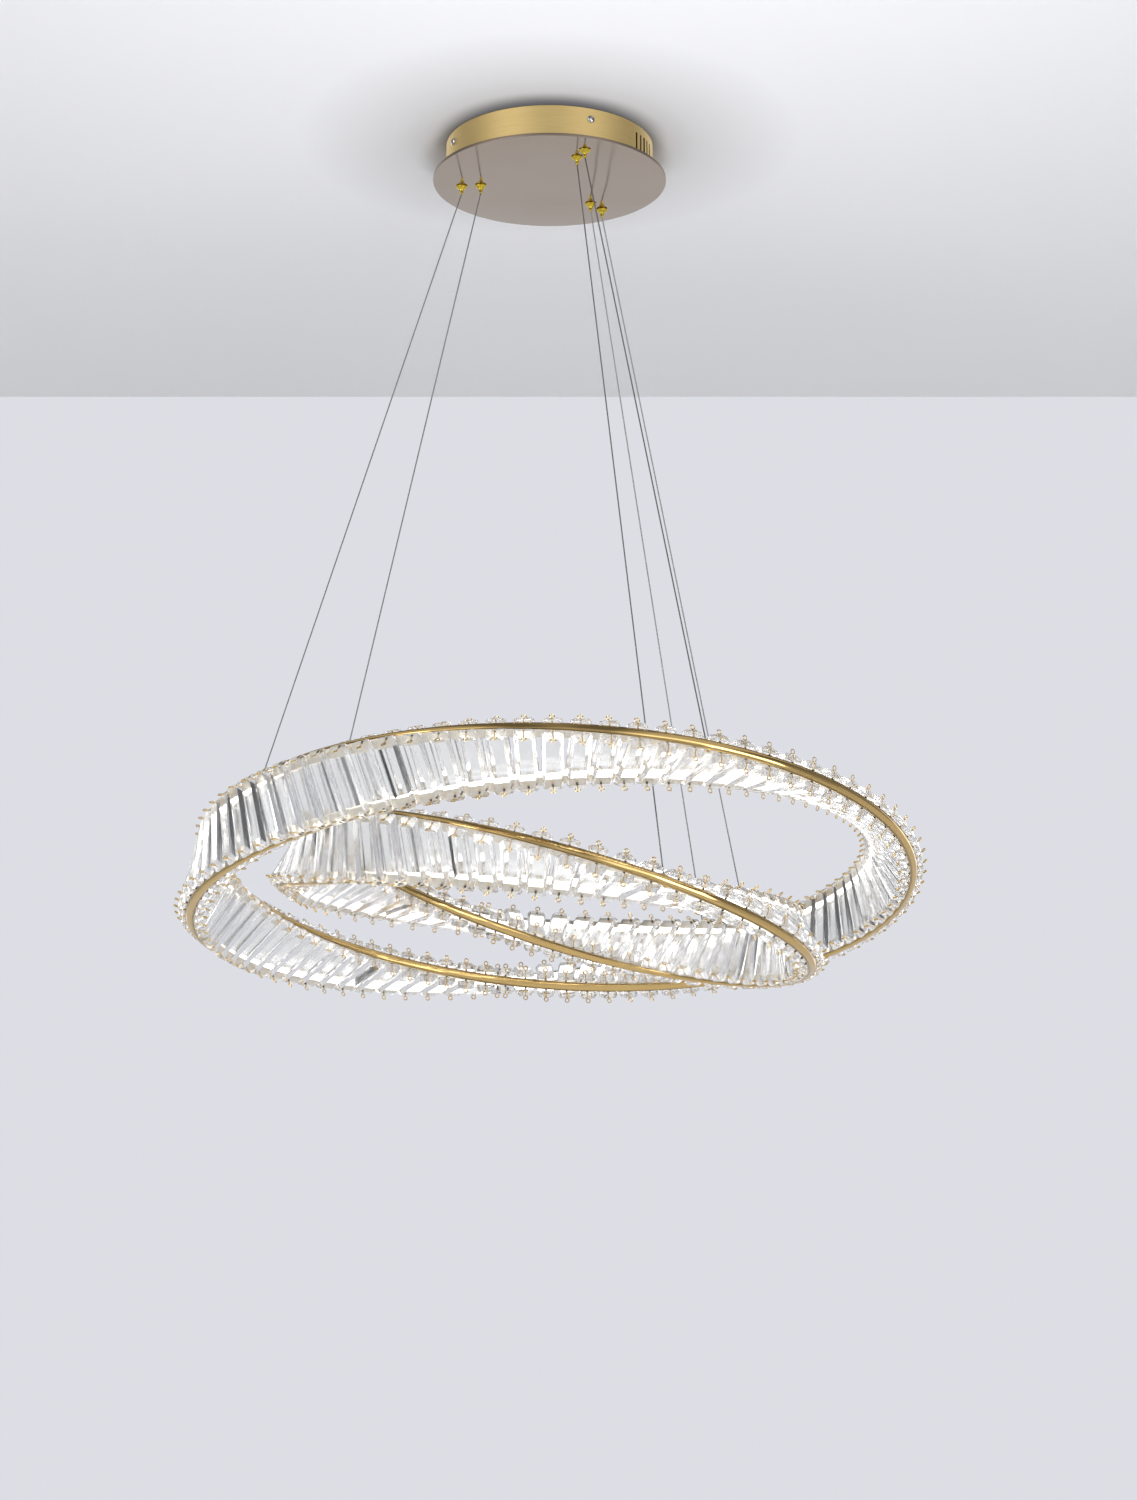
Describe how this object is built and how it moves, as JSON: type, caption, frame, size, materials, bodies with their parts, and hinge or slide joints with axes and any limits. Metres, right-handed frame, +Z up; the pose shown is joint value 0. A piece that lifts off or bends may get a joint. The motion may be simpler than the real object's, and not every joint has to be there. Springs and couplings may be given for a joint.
{
  "type": "pendant light",
  "caption": "Ceiling pendant light with concentric twisted rings of cut crystal bars on lit gold rails, hung by adjustable wires from a round mirror-finish canopy.",
  "frame": {"origin": "middle of the ceiling bracket's bolt circle, on the ceiling plane", "axes": "+Z up into the ceiling, +X to the viewer's right and +Y away from the viewer of the picture; the light hangs at negative Z"},
  "size_m": [0.7622, 0.7694, 0.9088],
  "materials": {
    "zinc_steel": "zinc plated",
    "satin_gold": "satin gold plating",
    "mirror_champagne": "mirror polished",
    "polished_gold": "polished gold plating",
    "wire_steel": "stranded wire",
    "crystal": "clear, cut and polished",
    "diffuser": "opal",
    "driver_case": "moulded",
    "terminal_plastic": "moulded"
  },
  "bodies": {
    "canopy": {"ceiling_bracket": "zinc_steel", "canopy_wall": "satin_gold", "canopy_plate": "mirror_champagne", "plate_nuts": "zinc_steel", "side_screws": "zinc_steel", "terminal_block": "terminal_plastic", "gripper_nuts": "zinc_steel", "big_led_driver": "driver_case", "small_led_driver": "driver_case", "big_left_gripper": "polished_gold", "big_front_gripper": "polished_gold", "big_back_gripper": "polished_gold", "small_left_gripper": "polished_gold", "small_front_gripper": "polished_gold", "small_back_gripper": "polished_gold"},
    "big_ring": {"big_rail_a": "polished_gold", "big_rail_b": "polished_gold", "big_light_strip_a": "diffuser", "big_light_strip_b": "diffuser", "big_crystal_row_a": "crystal", "big_crystal_row_b": "crystal", "big_struts": "zinc_steel", "big_wire_anchors": "polished_gold", "big_left_wire": "wire_steel", "big_front_wire": "wire_steel", "big_back_wire": "wire_steel"},
    "small_ring": {"small_rail_a": "polished_gold", "small_rail_b": "polished_gold", "small_light_strip_a": "diffuser", "small_light_strip_b": "diffuser", "small_crystal_row_a": "crystal", "small_crystal_row_b": "crystal", "small_struts": "zinc_steel", "small_wire_anchors": "polished_gold", "small_left_wire": "wire_steel", "small_front_wire": "wire_steel", "small_back_wire": "wire_steel"},
    "big_left_release": {"big_left_sleeve": "polished_gold"},
    "big_front_release": {"big_front_sleeve": "polished_gold"},
    "big_back_release": {"big_back_sleeve": "polished_gold"},
    "small_left_release": {"small_left_sleeve": "polished_gold"},
    "small_front_release": {"small_front_sleeve": "polished_gold"},
    "small_back_release": {"small_back_sleeve": "polished_gold"}
  },
  "joints": [
    {"name": "big_ring_height", "type": "slide", "parent": "canopy", "child": "big_ring", "axis": [0, 0, 1], "range_m": [0, 0.35], "deforming": ["big_left_wire", "big_front_wire", "big_back_wire"]},
    {"name": "small_ring_height", "type": "slide", "parent": "canopy", "child": "small_ring", "axis": [0, 0, 1], "range_m": [0, 0.08], "deforming": ["small_left_wire", "small_front_wire", "small_back_wire"]},
    {"name": "big_left_release_push", "type": "slide", "parent": "canopy", "child": "big_left_release", "axis": [0, 0, 1], "range_m": [0, 0.002], "stiffness_N_per_m": 400, "springref_m": -0.002},
    {"name": "big_front_release_push", "type": "slide", "parent": "canopy", "child": "big_front_release", "axis": [0, 0, 1], "range_m": [0, 0.002], "stiffness_N_per_m": 400, "springref_m": -0.002},
    {"name": "big_back_release_push", "type": "slide", "parent": "canopy", "child": "big_back_release", "axis": [0, 0, 1], "range_m": [0, 0.002], "stiffness_N_per_m": 400, "springref_m": -0.002},
    {"name": "small_left_release_push", "type": "slide", "parent": "canopy", "child": "small_left_release", "axis": [0, 0, 1], "range_m": [0, 0.002], "stiffness_N_per_m": 400, "springref_m": -0.002},
    {"name": "small_front_release_push", "type": "slide", "parent": "canopy", "child": "small_front_release", "axis": [0, 0, 1], "range_m": [0, 0.002], "stiffness_N_per_m": 400, "springref_m": -0.002},
    {"name": "small_back_release_push", "type": "slide", "parent": "canopy", "child": "small_back_release", "axis": [0, 0, 1], "range_m": [0, 0.002], "stiffness_N_per_m": 400, "springref_m": -0.002}
  ]
}
